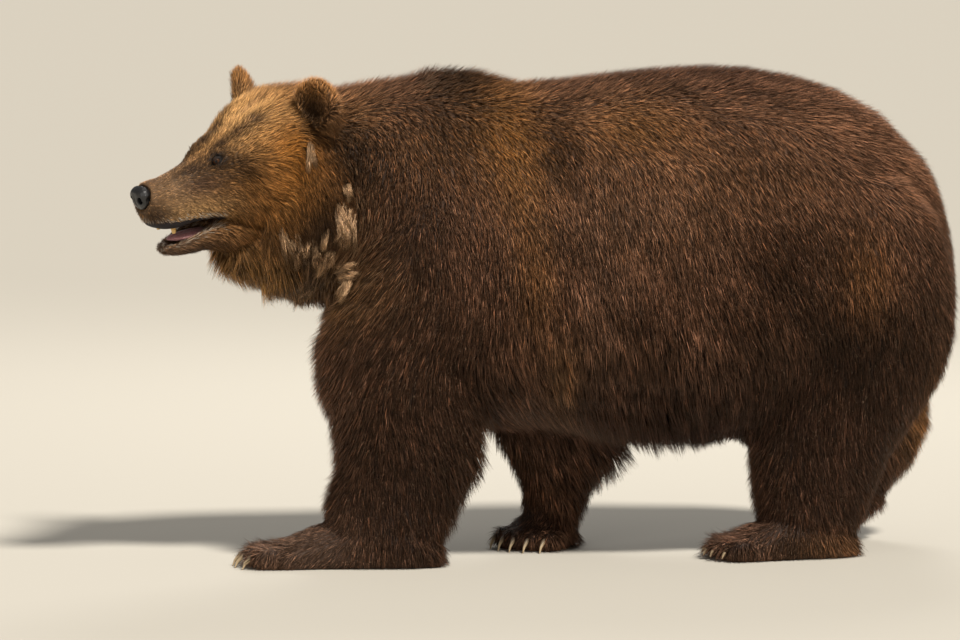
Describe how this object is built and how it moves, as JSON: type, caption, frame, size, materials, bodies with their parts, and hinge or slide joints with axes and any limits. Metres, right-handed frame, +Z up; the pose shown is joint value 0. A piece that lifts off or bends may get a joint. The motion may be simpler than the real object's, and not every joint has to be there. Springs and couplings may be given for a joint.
{
  "type": "brown bear model",
  "caption": "Life-size still model of a heavy adult brown bear in mid-stride, head turned to its left, mouth a little open, long dark coat.",
  "frame": {"origin": "middle of the bear's box, on the floor under its paws", "axes": "+Z up; the bear walks towards -X; its left side is -Y"},
  "size_m": [1.8728, 0.618, 1.0836],
  "materials": {
    "coat_dark": "long chocolate-brown fur",
    "coat_legs": "dark brown fur",
    "claw_horn": "pale worn horn",
    "coat_neck": "long brown fur",
    "coat_ear": "short brown fur, dark inside",
    "eye": "wet dark brown",
    "tooth": "worn yellow enamel",
    "coat_face": "short golden-brown fur",
    "tongue_skin": "pink wet skin",
    "nose_skin": "black grained skin"
  },
  "bodies": {
    "root": {"fore_upper_left": "coat_dark", "fore_lower_left": "coat_legs", "fore_paw_left": "coat_legs", "fore_claw_left_1": "claw_horn", "fore_claw_left_2": "claw_horn", "fore_claw_left_3": "claw_horn", "fore_claw_left_4": "claw_horn", "fore_claw_left_5": "claw_horn", "fore_upper_right": "coat_dark", "fore_lower_right": "coat_legs", "fore_paw_right": "coat_legs", "fore_claw_right_1": "claw_horn", "fore_claw_right_2": "claw_horn", "fore_claw_right_3": "claw_horn", "fore_claw_right_4": "claw_horn", "fore_claw_right_5": "claw_horn", "hind_upper_left": "coat_dark", "hind_lower_left": "coat_legs", "hind_paw_left": "coat_legs", "hind_claw_left_1": "claw_horn", "hind_claw_left_2": "claw_horn", "hind_claw_left_3": "claw_horn", "hind_claw_left_4": "claw_horn", "hind_claw_left_5": "claw_horn", "hind_upper_right": "coat_dark", "hind_lower_right": "coat_legs", "hind_paw_right": "coat_legs", "hind_claw_right_1": "claw_horn", "hind_claw_right_2": "claw_horn", "hind_claw_right_3": "claw_horn", "hind_claw_right_4": "claw_horn", "hind_claw_right_5": "claw_horn", "trunk": "coat_dark", "neck": "coat_neck", "tail": "coat_dark", "ear_left": "coat_ear", "eye_left": "eye", "canine_upper_left": "tooth", "canine_lower_left": "tooth", "ear_right": "coat_ear", "eye_right": "eye", "canine_upper_right": "tooth", "canine_lower_right": "tooth", "head": "coat_face", "jaw": "coat_face", "tongue": "tongue_skin", "nose": "nose_skin"}
  },
  "joints": []
}
